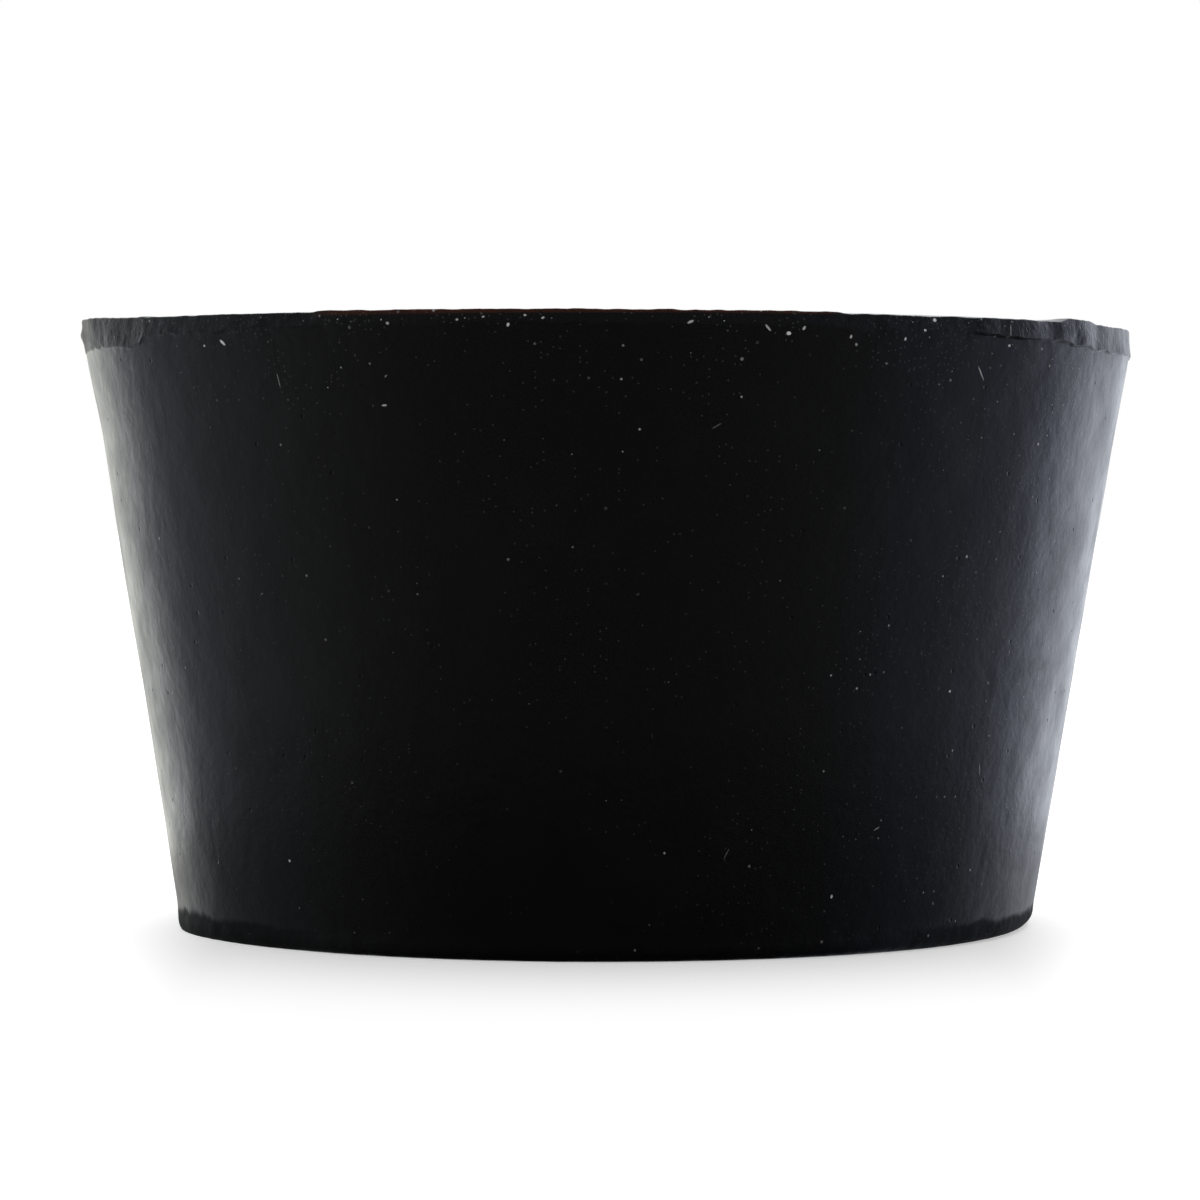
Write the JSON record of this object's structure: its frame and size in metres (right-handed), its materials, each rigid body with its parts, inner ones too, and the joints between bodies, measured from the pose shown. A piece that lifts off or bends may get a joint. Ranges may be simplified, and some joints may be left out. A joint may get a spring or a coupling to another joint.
{
  "type": "rubber stopper",
  "caption": "Solid tapered black rubber stopper with flat ends and a shear-trimmed rim; it pushes into a flask or tube neck to seal it.",
  "frame": {"origin": "centre of the flat narrow face, which the stopper stands on", "axes": "+Z along the stopper's axis, from the narrow face to the wide face; the stopper is round, so X and Y are set only by where the rim's cuts start"},
  "size_m": [0.0434, 0.0435, 0.025],
  "materials": {
    "black_rubber": "satin moulded black rubber with a faint pale bloom and dust; the trimmed rim is duller and greyer"
  },
  "bodies": {
    "root": {"stopper": "black_rubber"}
  },
  "joints": []
}
